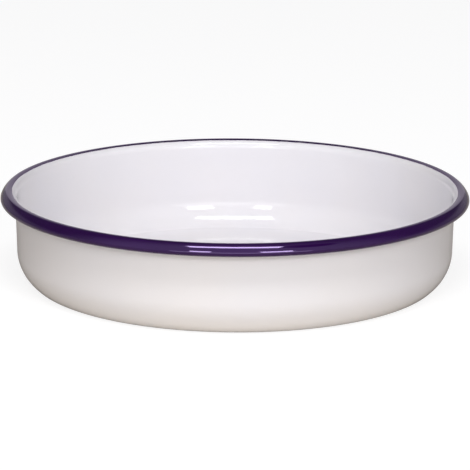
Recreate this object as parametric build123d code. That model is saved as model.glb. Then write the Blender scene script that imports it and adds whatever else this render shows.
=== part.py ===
from build123d import *
import os
from math import asin, cos, degrees, radians, sin

# A round, deep pie dish: one steel pressing with a rolled rim, enamelled all over.
# Millimetres. The dish stands on Z = 0 and its axis is Z.
# Everything turns about that axis, so each piece is a section in X and Z, spun once round.

# Sizes over the finished enamel
RIM_DIAMETER = 300.0  # over the rolled rim, at its widest
HEIGHT = 60.0  # from the table to the crest of the rim
WALL_DRAFT = 1.4  # degrees that the wall leans outwards
CORNER_RADIUS = 25.5  # outside, where the wall turns in towards the base
TOE_RADIUS = 7.0  # outside, where the corner runs out into the flat base
TOE_TURN = 39.5  # degrees of that turn that the toe makes

# Rolled rim: the sheet goes over the lip to the crest, out over a tight shoulder, down a
# sloping face, round a tight curl and back under, almost to the wall
LIP_RADIUS = 5.9
SHOULDER_RADIUS = 2.62
SHOULDER_TURN = 37.45  # degrees
FACE_RADIUS = 8.89
FACE_TURN = 31.7  # degrees
CURL_RADIUS = 2.45
RETURN_RISE = 10.0  # degrees that the edge climbs on its way back to the wall
EDGE_GAP = 1.4  # from the coated edge to the wall
BLUE_SETBACK = 2.7  # from the crest in to the edge of the blue, measured level

# Steel, and the glass fired on it
STEEL_THICKNESS = 0.6
COAT_THICKNESS = 0.3  # white or blue, with the ground coat that grips the steel under it
GROUND_THICKNESS = 0.3  # the dark ground coat, where nothing covers it

# Depths into the sheet, from the outside of the dish to its inside
STEEL_OUT = COAT_THICKNESS
STEEL_IN = STEEL_OUT + STEEL_THICKNESS
SHEET = STEEL_IN + COAT_THICKNESS
GROUND_OUT = STEEL_OUT - GROUND_THICKNESS

# Directions in the section are degrees up from outwards: 90 is up, -90 is down, 180 is inwards
TOE_END = TOE_TURN - 90
WALL_FACING = -WALL_DRAFT  # where the outside of the wall faces
LIP_START = 180 - WALL_DRAFT
FACE_START = 90 - SHOULDER_TURN
CURL_START = FACE_START - FACE_TURN
RETURN_FACING = -90 - RETURN_RISE
RETURN_HEADING = 180 - RETURN_RISE
TUCK_START = (CURL_START + RETURN_FACING) / 2  # the curl is rolled in two equal turns


def step(length, direction):
    """A move in the section."""
    return Vector(length * cos(radians(direction)), length * sin(radians(direction)))


# The curl reaches the rim's full width. Each bend of the rim runs on from the next one out.
# Its widest side is the inside of the sheet, and that is the side its radius is given for.
curl_to_face = step(FACE_RADIUS - CURL_RADIUS, CURL_START)
face_to_shoulder = step(FACE_RADIUS - SHOULDER_RADIUS, FACE_START)
crest_reach = RIM_DIAMETER / 2 - CURL_RADIUS - curl_to_face.X + face_to_shoulder.X
LIP_CENTRE = Vector(crest_reach, HEIGHT - LIP_RADIUS)
SHOULDER_CENTRE = Vector(crest_reach, HEIGHT - SHOULDER_RADIUS)
FACE_CENTRE = SHOULDER_CENTRE - face_to_shoulder
CURL_CENTRE = FACE_CENTRE + curl_to_face

# The wall hangs from the lip, tangent to it
wall_top = LIP_CENTRE - step(LIP_RADIUS - SHEET, WALL_FACING)

# The corner is tangent to the outside of the wall, and the toe to the corner and the table
toe_to_corner = CORNER_RADIUS - TOE_RADIUS
corner_rise = TOE_RADIUS - toe_to_corner * sin(radians(TOE_END))
corner_inset = CORNER_RADIUS - (corner_rise - wall_top.Y) * sin(radians(WALL_DRAFT))
CORNER_CENTRE = Vector(wall_top.X - corner_inset / cos(radians(WALL_DRAFT)), corner_rise)
TOE_CENTRE = CORNER_CENTRE + step(toe_to_corner, TOE_END)

# Where the steel and its coats end on the rim
BLUE_EDGE = 90 + degrees(asin(BLUE_SETBACK / LIP_RADIUS))
curl_end = CURL_CENTRE + step(CURL_RADIUS, RETURN_FACING)
COAT_RETURN = (curl_end.X - wall_top.X - EDGE_GAP) / cos(radians(RETURN_RISE))
STEEL_RETURN = COAT_RETURN - GROUND_THICKNESS


def arc(centre, radius, start, end):
    """A round stretch of the section, between two directions from its centre."""
    return CenterArc((centre.X, centre.Y), radius, start, end - start)


def rim_arc(centre, radius, depth, start, end):
    """A bend of the rim at one depth: widest on the inside of the sheet."""
    return arc(centre, radius - (SHEET - depth), start, end)


def base_line(depth):
    """The flat base at one depth into the sheet, from the axis to the toe."""
    return [Line((0, depth), (TOE_CENTRE.X, depth))]


def side_line(depth):
    """Toe, corner and wall at one depth, from the flat base to the lip."""
    toe = arc(TOE_CENTRE, TOE_RADIUS - depth, -90, TOE_END)
    corner = arc(CORNER_CENTRE, CORNER_RADIUS - depth, TOE_END, WALL_FACING)
    lip = rim_arc(LIP_CENTRE, LIP_RADIUS, depth, LIP_START, 90)
    return [toe, corner, Line(corner @ 1, lip @ 0)]


def return_line(depth, start, length):
    """The last, straight stretch at one depth: a length of it, from a distance past the curl."""
    curl = CURL_CENTRE + step(CURL_RADIUS - (SHEET - depth), RETURN_FACING)
    near = curl + step(start, RETURN_HEADING)
    far = near + step(length, RETURN_HEADING)
    return Line((near.X, near.Y), (far.X, far.Y))


def rim_line(depth, start, length):
    """The rim at one depth, from a direction on the lip to a length along the return."""
    lip = rim_arc(LIP_CENTRE, LIP_RADIUS, depth, start, 90)
    shoulder = rim_arc(SHOULDER_CENTRE, SHOULDER_RADIUS, depth, 90, FACE_START)
    face = rim_arc(FACE_CENTRE, FACE_RADIUS, depth, FACE_START, CURL_START)
    curl = rim_arc(CURL_CENTRE, CURL_RADIUS, depth, CURL_START, TUCK_START)
    tuck = rim_arc(CURL_CENTRE, CURL_RADIUS, depth, TUCK_START, RETURN_FACING)
    return [lip, shoulder, face, curl, tuck, return_line(depth, 0, length)]


def sheet_line(depth, length):
    """The whole sheet at one depth, from the axis to a length along the return."""
    return base_line(depth) + side_line(depth) + rim_line(depth, LIP_START, length)


def band(outside, inside):
    """The section between two lines along the sheet, closed straight across at both ends."""
    near_end = Line(outside[0] @ 0, inside[0] @ 0)
    far_end = Line(outside[-1] @ 1, inside[-1] @ 1)
    return make_face([near_end, far_end, *outside, *inside])


def spun(section):
    """A section turned once about the axis of the dish."""
    return revolve(Plane.XZ * section, Axis.Z)


def steel_pressing():
    """Base, wall and rolled rim, drawn and curled from one steel blank."""
    return spun(band(sheet_line(STEEL_OUT, STEEL_RETURN), sheet_line(STEEL_IN, STEEL_RETURN)))


def white_inside_enamel():
    """White from the middle of the floor, up the wall and over the lip to the edge of the blue."""
    lip = rim_arc(LIP_CENTRE, LIP_RADIUS, STEEL_IN, LIP_START, BLUE_EDGE)
    lip_face = rim_arc(LIP_CENTRE, LIP_RADIUS, SHEET, LIP_START, BLUE_EDGE)
    under = base_line(STEEL_IN) + side_line(STEEL_IN) + [lip]
    face = base_line(SHEET) + side_line(SHEET) + [lip_face]
    return spun(band(under, face))


def white_base_enamel():
    """White under the flat base, where the dish stands."""
    return spun(band(base_line(0), base_line(STEEL_OUT)))


def white_wall_enamel():
    """White on the outside, from the flat base up to behind the rim."""
    return spun(band(side_line(0), side_line(STEEL_OUT)))


def blue_rim_enamel():
    """Blue from its edge on the lip, over the crest and round the curl to the coated edge."""
    under = rim_line(STEEL_IN, BLUE_EDGE, COAT_RETURN)
    face = rim_line(SHEET, BLUE_EDGE, COAT_RETURN)
    return spun(band(under, face))


def ground_coat():
    """The bare ground coat behind the lip, inside the roll and over the cut edge of the steel."""
    steel_face = rim_line(STEEL_OUT, LIP_START, STEEL_RETURN)
    under_edge = return_line(STEEL_IN, STEEL_RETURN, GROUND_THICKNESS)
    cut_edge = Line(steel_face[-1] @ 1, under_edge @ 0)
    return spun(band(rim_line(GROUND_OUT, LIP_START, COAT_RETURN), [*steel_face, cut_edge, under_edge]))


pieces = [
    steel_pressing,
    ground_coat,
    white_inside_enamel,
    white_base_enamel,
    white_wall_enamel,
    blue_rim_enamel,
]

os.makedirs("parts", exist_ok=True)
for piece in pieces:
    solid = piece()
    export_step(solid, f"parts/{piece.__name__}.step")
    print(piece.__name__, f"{solid.volume:.0f} mm3 in {len(solid.solids())} solid")
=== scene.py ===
from math import asin, cos, degrees, pi, radians, sin

import bpy
from mathutils import Matrix, Vector


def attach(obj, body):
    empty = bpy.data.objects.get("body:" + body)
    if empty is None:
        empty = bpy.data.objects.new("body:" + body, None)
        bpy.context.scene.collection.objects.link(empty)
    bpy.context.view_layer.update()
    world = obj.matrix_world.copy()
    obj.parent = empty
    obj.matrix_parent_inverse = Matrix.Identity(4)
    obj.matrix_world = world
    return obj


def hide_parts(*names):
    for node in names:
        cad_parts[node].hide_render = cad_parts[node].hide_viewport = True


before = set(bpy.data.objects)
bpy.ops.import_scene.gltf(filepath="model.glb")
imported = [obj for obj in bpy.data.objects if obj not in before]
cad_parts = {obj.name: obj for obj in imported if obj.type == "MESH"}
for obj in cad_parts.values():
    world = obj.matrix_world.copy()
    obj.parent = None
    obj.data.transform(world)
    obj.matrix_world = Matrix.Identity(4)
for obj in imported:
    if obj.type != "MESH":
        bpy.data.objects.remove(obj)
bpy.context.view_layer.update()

# A deep, round pie dish of enamelled steel. The section is written in millimetres and degrees,
# X out from the axis of the dish and Y up, with the same named values as the part's source.
MM = 0.001

RIM_RADIUS = 149.94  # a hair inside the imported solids, whose facets cut the corners of the circle
HEIGHT = 60.0
WALL_DRAFT = 1.4
CORNER_RADIUS = 25.5
TOE_RADIUS = 7.0
TOE_TURN = 39.5
LIP_RADIUS = 5.9
SHOULDER_RADIUS = 2.62
SHOULDER_TURN = 37.45
FACE_RADIUS = 8.89
FACE_TURN = 31.7
CURL_RADIUS = 2.45
RETURN_RISE = 10.0
EDGE_GAP = 1.4
BLUE_SETBACK = 2.7
STEEL_THICKNESS = 0.6
COAT_THICKNESS = 0.3  # of every coat, the bare ground coat too

# Depths into the sheet, from the outside of the dish to its inside
STEEL_OUT = COAT_THICKNESS
STEEL_IN = STEEL_OUT + STEEL_THICKNESS
SHEET = STEEL_IN + COAT_THICKNESS

# Directions in the section are degrees up from outwards
TOE_END = TOE_TURN - 90
WALL_FACING = -WALL_DRAFT
LIP_START = 180 - WALL_DRAFT
FACE_START = 90 - SHOULDER_TURN
CURL_START = FACE_START - FACE_TURN
RETURN_FACING = -90 - RETURN_RISE
RETURN_HEADING = 180 - RETURN_RISE

# How finely the section is drawn and spun
TOE_STEPS = 9
CORNER_STEPS = 20
WALL_STEPS = 8
WHITE_LIP_STEPS = 14
LIP_STEPS = 10
SHOULDER_STEPS = 10
FACE_STEPS = 12
CURL_STEPS = 24
RETURN_STEPS = 3
FLAT_RINGS = 6  # rings that a flat disc is divided in, so that its facets aren't long slivers
SECTORS = 384  # steps once round the dish
WELD = 2e-6  # metres within which two points are one
SHARP_FROM = 40  # degrees from which a corner isn't shaded smooth


def step(length, direction):
    """A move in the section."""
    return Vector((length * cos(radians(direction)), length * sin(radians(direction))))


# Each bend of the rim runs on from the next one out, and the wall hangs from the lip
curl_to_face = step(FACE_RADIUS - CURL_RADIUS, CURL_START)
face_to_shoulder = step(FACE_RADIUS - SHOULDER_RADIUS, FACE_START)
crest_reach = RIM_RADIUS - CURL_RADIUS - curl_to_face.x + face_to_shoulder.x
LIP_CENTRE = Vector((crest_reach, HEIGHT - LIP_RADIUS))
SHOULDER_CENTRE = Vector((crest_reach, HEIGHT - SHOULDER_RADIUS))
FACE_CENTRE = SHOULDER_CENTRE - face_to_shoulder
CURL_CENTRE = FACE_CENTRE + curl_to_face
wall_top = LIP_CENTRE - step(LIP_RADIUS - SHEET, WALL_FACING)
toe_to_corner = CORNER_RADIUS - TOE_RADIUS
corner_rise = TOE_RADIUS - toe_to_corner * sin(radians(TOE_END))
corner_inset = CORNER_RADIUS - (corner_rise - wall_top.y) * sin(radians(WALL_DRAFT))
CORNER_CENTRE = Vector((wall_top.x - corner_inset / cos(radians(WALL_DRAFT)), corner_rise))
TOE_CENTRE = CORNER_CENTRE + step(toe_to_corner, TOE_END)

# Where the coats and the steel end on the rim
BLUE_EDGE = 90 + degrees(asin(BLUE_SETBACK / LIP_RADIUS))
curl_end = CURL_CENTRE + step(CURL_RADIUS, RETURN_FACING)
COAT_RETURN = (curl_end.x - wall_top.x - EDGE_GAP) / cos(radians(RETURN_RISE))
STEEL_RETURN = COAT_RETURN - COAT_THICKNESS


class Section:
    """A line drawn in the X Z plane with one moving point, and spun once round the dish's axis."""

    def __init__(self, name, start):
        bpy.ops.object.select_all(action="DESELECT")
        bpy.ops.mesh.primitive_plane_add(size=MM, location=(0, 0, 0))
        self.piece = bpy.context.object
        self.piece.name = self.piece.data.name = name
        bpy.ops.object.mode_set(mode="EDIT")
        bpy.ops.mesh.merge(type="CENTER")
        bpy.ops.transform.translate(value=(start.x * MM, 0, start.y * MM))
        self.tip = start

    def run(self, end, strides=1):
        """Draws straight on to a point."""
        stride = (end - self.tip) * MM / strides
        for _ in range(strides):
            bpy.ops.mesh.extrude_region_move(TRANSFORM_OT_translate={"value": (stride.x, 0, stride.y)})
        self.tip = end

    def bend(self, centre, turn, strides):
        """Draws a round bend of so many degrees, anticlockwise where they are positive."""
        middle = (centre.x * MM, 0, centre.y * MM)
        bpy.ops.mesh.spin(steps=strides, angle=radians(turn), center=middle, axis=(0, 1, 0))
        self.tip = centre + Matrix.Rotation(radians(turn), 2) @ (self.tip - centre)

    def spin_round(self):
        """Turns the line into the finished shell."""
        bpy.ops.mesh.select_all(action="SELECT")
        bpy.ops.mesh.remove_doubles(threshold=WELD)
        bpy.ops.mesh.select_all(action="SELECT")
        bpy.ops.mesh.spin(steps=SECTORS, angle=2 * pi, center=(0, 0, 0), axis=(0, 0, 1))
        bpy.ops.mesh.select_all(action="SELECT")
        bpy.ops.mesh.remove_doubles(threshold=WELD)
        bpy.ops.mesh.normals_make_consistent(inside=False)
        bpy.ops.object.mode_set(mode="OBJECT")
        bpy.ops.object.shade_smooth_by_angle(angle=radians(SHARP_FROM))
        return self.piece


def side_up(section, top):
    """Draws toe, corner and wall, from the flat base up to the start of the lip."""
    section.bend(TOE_CENTRE, TOE_TURN, TOE_STEPS)
    section.bend(CORNER_CENTRE, WALL_FACING - TOE_END, CORNER_STEPS)
    section.run(top, WALL_STEPS)


def side_down(section, depth):
    """Draws wall, corner and toe at one depth, from the start of the lip down to the flat base."""
    section.run(CORNER_CENTRE + step(CORNER_RADIUS - depth, WALL_FACING), WALL_STEPS)
    section.bend(CORNER_CENTRE, TOE_END - WALL_FACING, CORNER_STEPS)
    section.bend(TOE_CENTRE, -TOE_TURN, TOE_STEPS)


def lip_point(depth, direction):
    """A point on the lip at one depth into the sheet."""
    return LIP_CENTRE + step(LIP_RADIUS - (SHEET - depth), direction)


def return_point(depth, length):
    """A point on the straight stretch under the rim, so far past the curl."""
    return CURL_CENTRE + step(CURL_RADIUS - (SHEET - depth), RETURN_FACING) + step(length, RETURN_HEADING)


def rim_outwards(section, start, depth, length):
    """Draws the rolled rim at one depth, from a direction on the lip to the end of the return."""
    section.bend(LIP_CENTRE, 90 - start, LIP_STEPS)
    section.bend(SHOULDER_CENTRE, FACE_START - 90, SHOULDER_STEPS)
    section.bend(FACE_CENTRE, CURL_START - FACE_START, FACE_STEPS)
    section.bend(CURL_CENTRE, RETURN_FACING - CURL_START, CURL_STEPS)
    section.run(return_point(depth, length), RETURN_STEPS)


def rim_inwards(section, end, depth):
    """Draws the rolled rim at one depth, from the end of the return back to a direction on the lip."""
    section.run(return_point(depth, 0), RETURN_STEPS)
    section.bend(CURL_CENTRE, CURL_START - RETURN_FACING, CURL_STEPS)
    section.bend(FACE_CENTRE, FACE_START - CURL_START, FACE_STEPS)
    section.bend(SHOULDER_CENTRE, 90 - FACE_START, SHOULDER_STEPS)
    section.bend(LIP_CENTRE, end - 90, LIP_STEPS)


def inside_coat():
    """White enamel over the floor, up the wall and over the lip to the edge of the blue."""
    section = Section("inside_coat", Vector((0, SHEET)))
    section.run(Vector((TOE_CENTRE.x, SHEET)), FLAT_RINGS)
    side_up(section, lip_point(SHEET, LIP_START))
    section.bend(LIP_CENTRE, BLUE_EDGE - LIP_START, WHITE_LIP_STEPS)
    section.run(lip_point(STEEL_IN, BLUE_EDGE))
    section.bend(LIP_CENTRE, LIP_START - BLUE_EDGE, WHITE_LIP_STEPS)
    side_down(section, STEEL_IN)
    section.run(Vector((0, STEEL_IN)), FLAT_RINGS)
    return section.spin_round()


def base_coat():
    """White enamel under the flat base, which the dish stands on."""
    section = Section("base_coat", Vector((0, 0)))
    section.run(Vector((TOE_CENTRE.x, 0)), FLAT_RINGS)
    section.run(Vector((TOE_CENTRE.x, STEEL_OUT)))
    section.run(Vector((0, STEEL_OUT)), FLAT_RINGS)
    return section.spin_round()


def wall_coat():
    """White enamel up the outside, from the flat base to behind the rim."""
    section = Section("wall_coat", Vector((TOE_CENTRE.x, 0)))
    side_up(section, lip_point(0, LIP_START))
    section.run(lip_point(STEEL_OUT, LIP_START))
    side_down(section, STEEL_OUT)
    section.run(Vector((TOE_CENTRE.x, 0)))
    return section.spin_round()


def rim_coat():
    """Dark blue enamel over the rolled rim, from its edge on the lip round to the coated edge."""
    section = Section("rim_coat", lip_point(SHEET, BLUE_EDGE))
    rim_outwards(section, BLUE_EDGE, SHEET, COAT_RETURN)
    section.run(return_point(STEEL_IN, COAT_RETURN))
    rim_inwards(section, BLUE_EDGE, STEEL_IN)
    section.run(lip_point(SHEET, BLUE_EDGE))
    return section.spin_round()


def roll_lining():
    """The bare ground coat behind the lip, inside the roll and over the cut edge of the steel."""
    section = Section("roll_lining", lip_point(0, LIP_START))
    rim_outwards(section, LIP_START, 0, COAT_RETURN)
    section.run(return_point(STEEL_IN, COAT_RETURN))
    section.run(return_point(STEEL_IN, STEEL_RETURN))
    section.run(return_point(STEEL_OUT, STEEL_RETURN))
    rim_inwards(section, LIP_START, STEEL_OUT)
    section.run(lip_point(0, LIP_START))
    return section.spin_round()


def tone(red, green, blue):
    """The colour that a screen shows for three numbers up to 255."""
    parts = [c / 255 for c in (red, green, blue)]
    return tuple(c / 12.92 if c <= 0.04045 else ((c + 0.055) / 1.055) ** 2.4 for c in parts) + (1.0,)


class Reading:
    """A number that varies over a surface. Sums on it add Math nodes."""

    def __init__(self, finish, socket):
        self.finish, self.socket = finish, socket

    def maths(self, operation, first, second):
        return self.finish.take("ShaderNodeMath", {"operation": operation}, {0: first, 1: second})

    def __add__(self, other):
        return self.maths("ADD", self, other)

    def __sub__(self, other):
        return self.maths("SUBTRACT", self, other)

    def __rsub__(self, other):
        return self.maths("SUBTRACT", other, self)

    def __mul__(self, other):
        return self.maths("MULTIPLY", self, other)

    def __truediv__(self, other):
        return self.maths("DIVIDE", self, other)

    def __pow__(self, other):
        return self.maths("POWER", self, other)

    def __gt__(self, other):
        return self.maths("GREATER_THAN", self, other)

    def __lt__(self, other):
        return self.maths("LESS_THAN", self, other)

    __radd__ = __add__
    __rmul__ = __mul__


class Finish:
    """A set of shader nodes, added one by one."""

    def __init__(self, owner):
        owner.use_nodes = True
        self.tree = owner.node_tree
        self.tree.nodes.clear()

    def node(self, kind, settings=None, inputs=None):
        """Adds a node: its type, its settings, and the values or links of its sockets."""
        made = self.tree.nodes.new(kind)
        for name, value in (settings or {}).items():
            setattr(made, name, value)
        for name, value in (inputs or {}).items():
            socket = made.inputs[name]
            if isinstance(value, Reading):
                self.tree.links.new(value.socket, socket)
            elif isinstance(value, bpy.types.NodeSocket):
                self.tree.links.new(value, socket)
            else:
                socket.default_value = value
        return made

    def take(self, kind, settings, inputs):
        """A node's first output as a Reading."""
        return Reading(self, self.node(kind, settings, inputs).outputs[0])

    def blend(self, amount, first, second):
        """One colour running into another."""
        inputs = {0: amount, 6: first, 7: second}  # a Mix node keeps its two colours in sockets 6 and 7
        return self.node("ShaderNodeMix", {"data_type": "RGBA"}, inputs).outputs[2]

    def ramp(self, value, low, high):
        """0 below low, 1 above high and an even, soft climb between them."""
        inputs = {"Value": value, "From Min": low, "From Max": high}
        return self.take("ShaderNodeMapRange", {"interpolation_type": "SMOOTHSTEP", "clamp": True}, inputs)

    def close(self, surface):
        """Ends a material with its surface."""
        self.node("ShaderNodeOutputMaterial", None, {"Surface": surface})


GLASS_IOR = 1.53
PEEL_WAVES, PEEL_DETAIL = 230.0, 2.0  # the orange peel of the glass: waves to the metre, and octaves
SWAY_WAVES, SWAY_DETAIL = 13.0, 1.0  # the long waves of the pressing under it
PEEL, SWAY = 0.02, 0.12  # how high both are on the white, in millimetres
SPOT_CORE = 0.6  # of a spot's size, inside its soft edge
EVEN = 3.0  # octaves of a soft noise
GRAINY = 4.0  # octaves of a noise with more grain in it


class Enamel(Finish):
    """Glass fired on steel: what the white, the blue and the ground coat have in common."""

    def __init__(self, name):
        self.material = bpy.data.materials.new(name)
        super().__init__(self.material)
        self.place = self.node("ShaderNodeTexCoord").outputs["Object"]
        apart = self.node("ShaderNodeSeparateXYZ", None, {0: self.place})
        x, y, z = (Reading(self, apart.outputs[i]) for i in range(3))
        self.reach = (x * x + y * y) ** 0.5 / MM
        self.rise = z / MM

    def cloud(self, waves, detail=EVEN):
        """Soft noise around one half, with so many waves to the metre."""
        return self.take("ShaderNodeTexNoise", None, {"Vector": self.place, "Scale": waves, "Detail": detail})

    def patches(self, waves, low, high, first, second):
        """One colour with soft patches of another, which start where the noise is low and are full at high."""
        return self.blend(self.ramp(self.cloud(waves), low, high), first, second)

    def dullness(self, waves, spread, least):
        """A roughness that drifts between least and least plus spread."""
        return self.cloud(waves) * spread + least

    def spots(self, cells, size, share):
        """1 on small round spots: so many cells to the metre, a size in cells, and how many cells have one."""
        found = self.node("ShaderNodeTexVoronoi", {"feature": "F1"}, {"Vector": self.place, "Scale": cells})
        picked = self.node("ShaderNodeSeparateColor", None, {0: found.outputs["Color"]})
        near = 1 - self.ramp(Reading(self, found.outputs["Distance"]), size * SPOT_CORE, size)
        return near * (Reading(self, picked.outputs[0]) < share)

    def ripple(self, peel, sway):
        """A normal for the gloss: orange peel and the long waves of the pressing, in millimetres high."""
        height = self.cloud(PEEL_WAVES, PEEL_DETAIL) * peel + self.cloud(SWAY_WAVES, SWAY_DETAIL) * sway
        return self.node("ShaderNodeBump", None, {"Strength": 1.0, "Distance": MM, "Height": height}).outputs[0]

    def fire(self, colour, roughness, ripple, depth=0.0):
        """Closes the material with its gloss.

        Clear, deep glass returns its colour as a mirror does, from within: depth is how much, up to 1.
        """
        inputs = {"Base Color": colour, "Roughness": roughness, "Normal": ripple, "IOR": GLASS_IOR}
        inputs.update({"Metallic": depth, "Coat Weight": depth})
        self.close(self.node("ShaderNodeBsdfPrincipled", None, inputs).outputs[0])
        return self.material


WHITE_TONE = tone(240, 237, 239)
WHITE_COOL = tone(238, 236, 240)
WHITE_THIN = tone(221, 216, 222)
WHITE_WORN = tone(205, 200, 200)
SPECK_TONE = tone(150, 140, 132)
BLUE_TONE = tone(57, 19, 87)
BLUE_DEEP = tone(52, 16, 81)
BUBBLE_TONE = tone(70, 52, 96)
BLUE_DEPTH = 0.45
GROUND_TONE = tone(24, 22, 40)
GROUND_PALE = tone(40, 38, 60)
STEEL_TONE = tone(140, 142, 146)
STEEL_DARK = tone(118, 120, 124)

BLUE_EDGE_REACH = lip_point(SHEET, BLUE_EDGE).x
LIP_FROM = 56.0  # height from which the white is on the lip
WANDER_WAVES = 90.0  # to the metre, in the limits of the two bands beside the blue
THIN_WIDTH, THIN_WANDER, THIN_SHARE = 1.1, 0.8, 0.55  # the band where the white thins out
BLEED_WIDTH, BLEED_WANDER, BLEED_SHARE = 0.16, 0.5, 0.85  # the blue's soft edge on the white
SPOT_SHARE = 0.5  # how far a speck or a bubble takes its own colour
WORN_RING = (112.0, 119.0, 122.5, 126.0)  # where the wear under the base starts, is full, fades and is gone
WORN_WAVES, WORN_LOW, WORN_HIGH = 70.0, 0.38, 0.62  # its patches
WORN_PALING, WORN_DULLING = 0.35, 0.22  # how far it changes the colour, and the roughness


def white_patches(glass):
    """The white itself, a shade cooler in places."""
    return glass.patches(waves=11.0, low=0.35, high=0.65, first=WHITE_TONE, second=WHITE_COOL)


def white_enamel():
    """Glossy white, greyer where it thins out beside the blue, with a few specks."""
    glass = Enamel("white_enamel")
    colour = white_patches(glass)
    on_lip = glass.rise > LIP_FROM
    wander = glass.cloud(WANDER_WAVES) - 0.5
    thinning = glass.ramp(glass.reach + wander * THIN_WANDER, BLUE_EDGE_REACH - THIN_WIDTH, BLUE_EDGE_REACH)
    colour = glass.blend(thinning * on_lip * THIN_SHARE, colour, WHITE_THIN)
    bleed = glass.ramp(glass.reach + wander * BLEED_WANDER, BLUE_EDGE_REACH - BLEED_WIDTH, BLUE_EDGE_REACH)
    colour = glass.blend(bleed * on_lip * BLEED_SHARE, colour, BLUE_TONE)
    colour = glass.blend(glass.spots(cells=55.0, size=0.012, share=0.16) * SPOT_SHARE, colour, SPECK_TONE)
    return glass.fire(colour, glass.dullness(waves=24.0, spread=0.03, least=0.035), glass.ripple(PEEL, SWAY))


def blue_enamel():
    """Glossy dark violet-blue, deeper in soft patches, with a few pinprick bubbles."""
    glass = Enamel("blue_enamel")
    colour = glass.patches(waves=28.0, low=0.3, high=0.7, first=BLUE_TONE, second=BLUE_DEEP)
    colour = glass.blend(glass.spots(cells=320.0, size=0.05, share=0.3) * SPOT_SHARE, colour, BUBBLE_TONE)
    roughness = glass.dullness(waves=40.0, spread=0.04, least=0.04)
    return glass.fire(colour, roughness, glass.ripple(peel=0.018, sway=0.0), BLUE_DEPTH)


def ground_enamel():
    """The dark ground coat, blue-black and a little uneven."""
    glass = Enamel("ground_enamel")
    colour = glass.blend(glass.cloud(waves=160.0, detail=GRAINY), GROUND_TONE, GROUND_PALE)
    roughness = glass.dullness(waves=120.0, spread=0.18, least=0.16)
    return glass.fire(colour, roughness, glass.ripple(peel=0.05, sway=0.0))


def base_enamel():
    """The white under the base, dulled in patches in the ring that the dish stands on."""
    glass = Enamel("base_enamel")
    starts, full, fades, gone = WORN_RING
    worn = glass.ramp(glass.reach, starts, full) * (1 - glass.ramp(glass.reach, fades, gone))
    worn = worn * glass.ramp(glass.cloud(WORN_WAVES, GRAINY), WORN_LOW, WORN_HIGH)
    colour = glass.blend(worn * WORN_PALING, white_patches(glass), WHITE_WORN)
    roughness = glass.dullness(waves=24.0, spread=0.03, least=0.045) + worn * WORN_DULLING
    return glass.fire(colour, roughness, glass.ripple(PEEL, SWAY))


def bare_steel():
    """Pickled sheet steel, which the enamel hides."""
    sheet = Enamel("pickled_steel")
    colour = sheet.blend(sheet.cloud(waves=300.0, detail=GRAINY), STEEL_TONE, STEEL_DARK)
    roughness = sheet.dullness(waves=500.0, spread=0.2, least=0.4)
    ripple = sheet.ripple(peel=0.01, sway=0.0)
    inputs = {"Base Color": colour, "Roughness": roughness, "Metallic": 1.0, "Normal": ripple}
    sheet.close(sheet.node("ShaderNodeBsdfPrincipled", None, inputs).outputs[0])
    return sheet.material


def dress(piece, material, node):
    """Gives a piece its finish, hangs it under the root body and hides the imported node that it stands in for.
    """
    piece.data.materials.clear()
    piece.data.materials.append(material)
    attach(piece, "root")
    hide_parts(node)


white = white_enamel()
dress(inside_coat(), white, "white_inside_enamel")
dress(wall_coat(), white, "white_wall_enamel")
dress(base_coat(), base_enamel(), "white_base_enamel")
dress(rim_coat(), blue_enamel(), "blue_rim_enamel")
dress(roll_lining(), ground_enamel(), "ground_coat")
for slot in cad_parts["steel_pressing"].material_slots:
    slot.material = bare_steel()

# The studio, in metres. Directions are degrees round from the camera, to its right, and degrees up.
FLOOR_BOUNCE = tone(214, 207, 193)
FLOOR_MIRRORED = tone(194, 188, 182)
PAPER_SHADED = (0.28, 0.28, 0.28, 1.0)  # the part of the paper's white that a shadow takes away
PAPER_GLOW = 0.82  # the part that stays
FLOOR_RADIUS = 6.0
FLOOR_CORNERS = 96
FLOOR_DROP = 0.2 * MM  # under the base, so that the two don't share a plane

TENT_GREY = tone(190, 190, 193)
SHEET_GREY = tone(178, 172, 182)
ROOM_DARK = tone(68, 67, 70)
GAP_BLACK = (0.0, 0.0, 0.0, 1.0)
PURE_WHITE = (1.0, 1.0, 1.0, 1.0)

# Where the walls' tones change, on the unit vector of a direction: how far it goes across,
# away from the camera and up
SHEET_SIDES = (0.06, 0.12)  # on the square of how far across
SHEET_TOP = (0.55, 0.75)
LOW_PAPER = 0.4  # of the sheet's paleness, low down all round
LOW_TOP = (0.18, 0.32)
TENT_BACK = (-0.55, 0.15)
GAP_PLACE = (52.0, 56.0)
GAP_REACH, GAP_CORE = 12.0, 8.0  # degrees from its middle, with its soft edge and without
LAMP_AIM = 0.05  # height that the lamps face


def paper_floor():
    """White paper: white to the eye, with a faint shadow, and warm in mirrors and in the light it returns."""
    bpy.ops.object.select_all(action="DESELECT")
    bpy.ops.mesh.primitive_circle_add(
        vertices=FLOOR_CORNERS, radius=FLOOR_RADIUS, fill_type="NGON", location=(0, 0, 0)
    )
    bpy.ops.transform.translate(value=(0, 0, -FLOOR_DROP))
    floor = bpy.context.object
    floor.name = floor.data.name = "floor"
    material = bpy.data.materials.new("white_paper")
    paper = Finish(material)
    path = paper.node("ShaderNodeLightPath").outputs
    returned = paper.blend(path["Is Glossy Ray"], FLOOR_BOUNCE, FLOOR_MIRRORED)
    plain = paper.node("ShaderNodeBsdfDiffuse", None, {"Color": returned}).outputs[0]
    faint = paper.node("ShaderNodeBsdfDiffuse", None, {"Color": PAPER_SHADED}).outputs[0]
    glow = paper.node("ShaderNodeEmission", None, {"Color": PURE_WHITE, "Strength": PAPER_GLOW}).outputs[0]
    seen = paper.node("ShaderNodeAddShader", None, {0: faint, 1: glow}).outputs[0]
    both = {0: path["Is Camera Ray"], 1: plain, 2: seen}
    paper.close(paper.node("ShaderNodeMixShader", None, both).outputs[0])
    floor.data.materials.append(material)


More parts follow.
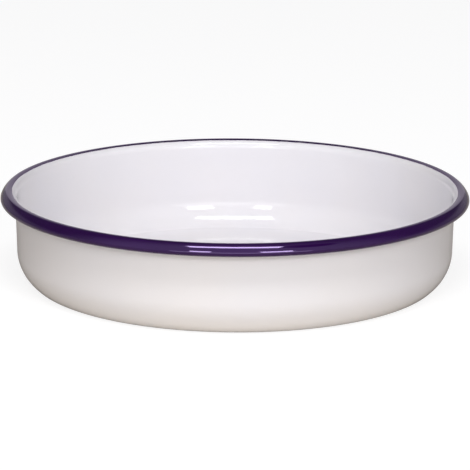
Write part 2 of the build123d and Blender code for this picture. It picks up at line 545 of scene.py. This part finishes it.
def towards(azimuth, elevation):
    """The unit vector in a direction."""
    a, e = radians(azimuth), radians(elevation)
    return Vector((sin(a) * cos(e), -cos(a) * cos(e), sin(e)))


def studio_walls():
    """What the dish mirrors, where the eye sees white instead.

    A tent, pale in front but for a dark gap on its right. Behind it, a dark room with a sheet of
    paper hung in it, and some paper low down all round.
    """
    world = bpy.data.worlds.new("studio")
    bpy.context.scene.world = world
    walls = Finish(world)
    heading = walls.node("ShaderNodeTexCoord").outputs["Generated"]
    apart = walls.node("ShaderNodeSeparateXYZ", None, {0: heading}).outputs
    across, away, rise = (Reading(walls, apart[i]) for i in range(3))
    sheet = (1 - walls.ramp(across * across, *SHEET_SIDES)) * (1 - walls.ramp(rise, *SHEET_TOP))
    low = LOW_PAPER - walls.ramp(rise, *LOW_TOP) * LOW_PAPER
    light = walls.blend(sheet.maths("MAXIMUM", sheet, low), ROOM_DARK, SHEET_GREY)
    light = walls.blend(walls.ramp(away, *TENT_BACK), TENT_GREY, light)
    facing = {0: heading, 1: towards(*GAP_PLACE)}
    facing_gap = walls.node("ShaderNodeVectorMath", {"operation": "DOT_PRODUCT"}, facing).outputs["Value"]
    gap = walls.ramp(Reading(walls, facing_gap), cos(radians(GAP_REACH)), cos(radians(GAP_CORE)))
    light = walls.blend(gap, light, GAP_BLACK)
    straight = walls.node("ShaderNodeLightPath").outputs["Is Camera Ray"]
    light = walls.blend(straight, light, PURE_WHITE)
    surface = walls.node("ShaderNodeBackground", None, {"Color": light, "Strength": 1.0}).outputs[0]
    walls.node("ShaderNodeOutputWorld", None, {"Surface": surface})


def softbox(name, azimuth, elevation, distance, width, height, glow):
    """A flat, even lamp that faces the dish; its glow is 1 where it is as bright as white paper."""
    lamp = bpy.data.lights.new(name, "AREA")
    lamp.shape = "RECTANGLE"
    lamp.size, lamp.size_y = width, height
    lamp.energy = pi * width * height * glow
    holder = bpy.data.objects.new(name, lamp)
    bpy.context.scene.collection.objects.link(holder)
    aim = towards(azimuth, elevation)
    holder.location = aim * distance + Vector((0, 0, LAMP_AIM))
    holder.rotation_mode = "QUATERNION"
    holder.rotation_quaternion = aim.to_track_quat("Z", "Y")
    holder.visible_camera = False


paper_floor()
studio_walls()
softbox("right_key", azimuth=20.5, elevation=25.0, distance=2.5, width=0.62, height=0.46, glow=11.0)
softbox("left_key", azimuth=-16.5, elevation=25.0, distance=2.5, width=0.40, height=0.46, glow=11.0)
softbox("overhead", azimuth=0.0, elevation=63.5, distance=2.2, width=1.26, height=0.38, glow=12.5)
softbox("low_fill", azimuth=3.0, elevation=10.0, distance=2.5, width=3.2, height=0.90, glow=1.5)

# The camera, from the outlines of the dish in the photograph
CAMERA_RISE = 0.24325  # radians up from level
CAMERA_DISTANCE = 1.8
CAMERA_AIM = 0.04  # height on the dish's axis
YAW, PITCH, ROLL = 8e-05, -0.00639, 0.00538  # radians that it is turned by after it is aimed
FOCAL_PIXELS = 2800.53
PHOTO_PIXELS = 470
SENSOR_WIDTH = 36.0


def place_camera():
    """A long lens a little above the rim, aimed as the photograph's was."""
    ahead = Vector((0, cos(CAMERA_RISE), -sin(CAMERA_RISE)))
    right = Vector((1, 0, 0))
    up = right.cross(ahead)
    ahead = (ahead + YAW * right + PITCH * up).normalized()
    right = ahead.cross(up).normalized()
    up = right.cross(ahead).normalized()
    right, up = cos(ROLL) * right + sin(ROLL) * up, cos(ROLL) * up - sin(ROLL) * right
    lens = bpy.data.cameras.new("camera")
    lens.sensor_width = SENSOR_WIDTH
    lens.lens = FOCAL_PIXELS / PHOTO_PIXELS * SENSOR_WIDTH
    lens.clip_start, lens.clip_end = 0.05, 100.0
    camera = bpy.data.objects.new("camera", lens)
    bpy.context.scene.collection.objects.link(camera)
    camera.matrix_world = Matrix(
        (
            (right.x, up.x, -ahead.x, 0.0),
            (right.y, up.y, -ahead.y, -CAMERA_DISTANCE * cos(CAMERA_RISE)),
            (right.z, up.z, -ahead.z, CAMERA_DISTANCE * sin(CAMERA_RISE) + CAMERA_AIM),
            (0.0, 0.0, 0.0, 1.0),
        )
    )
    bpy.context.scene.camera = camera


place_camera()
bpy.context.scene.view_settings.view_transform = "Standard"
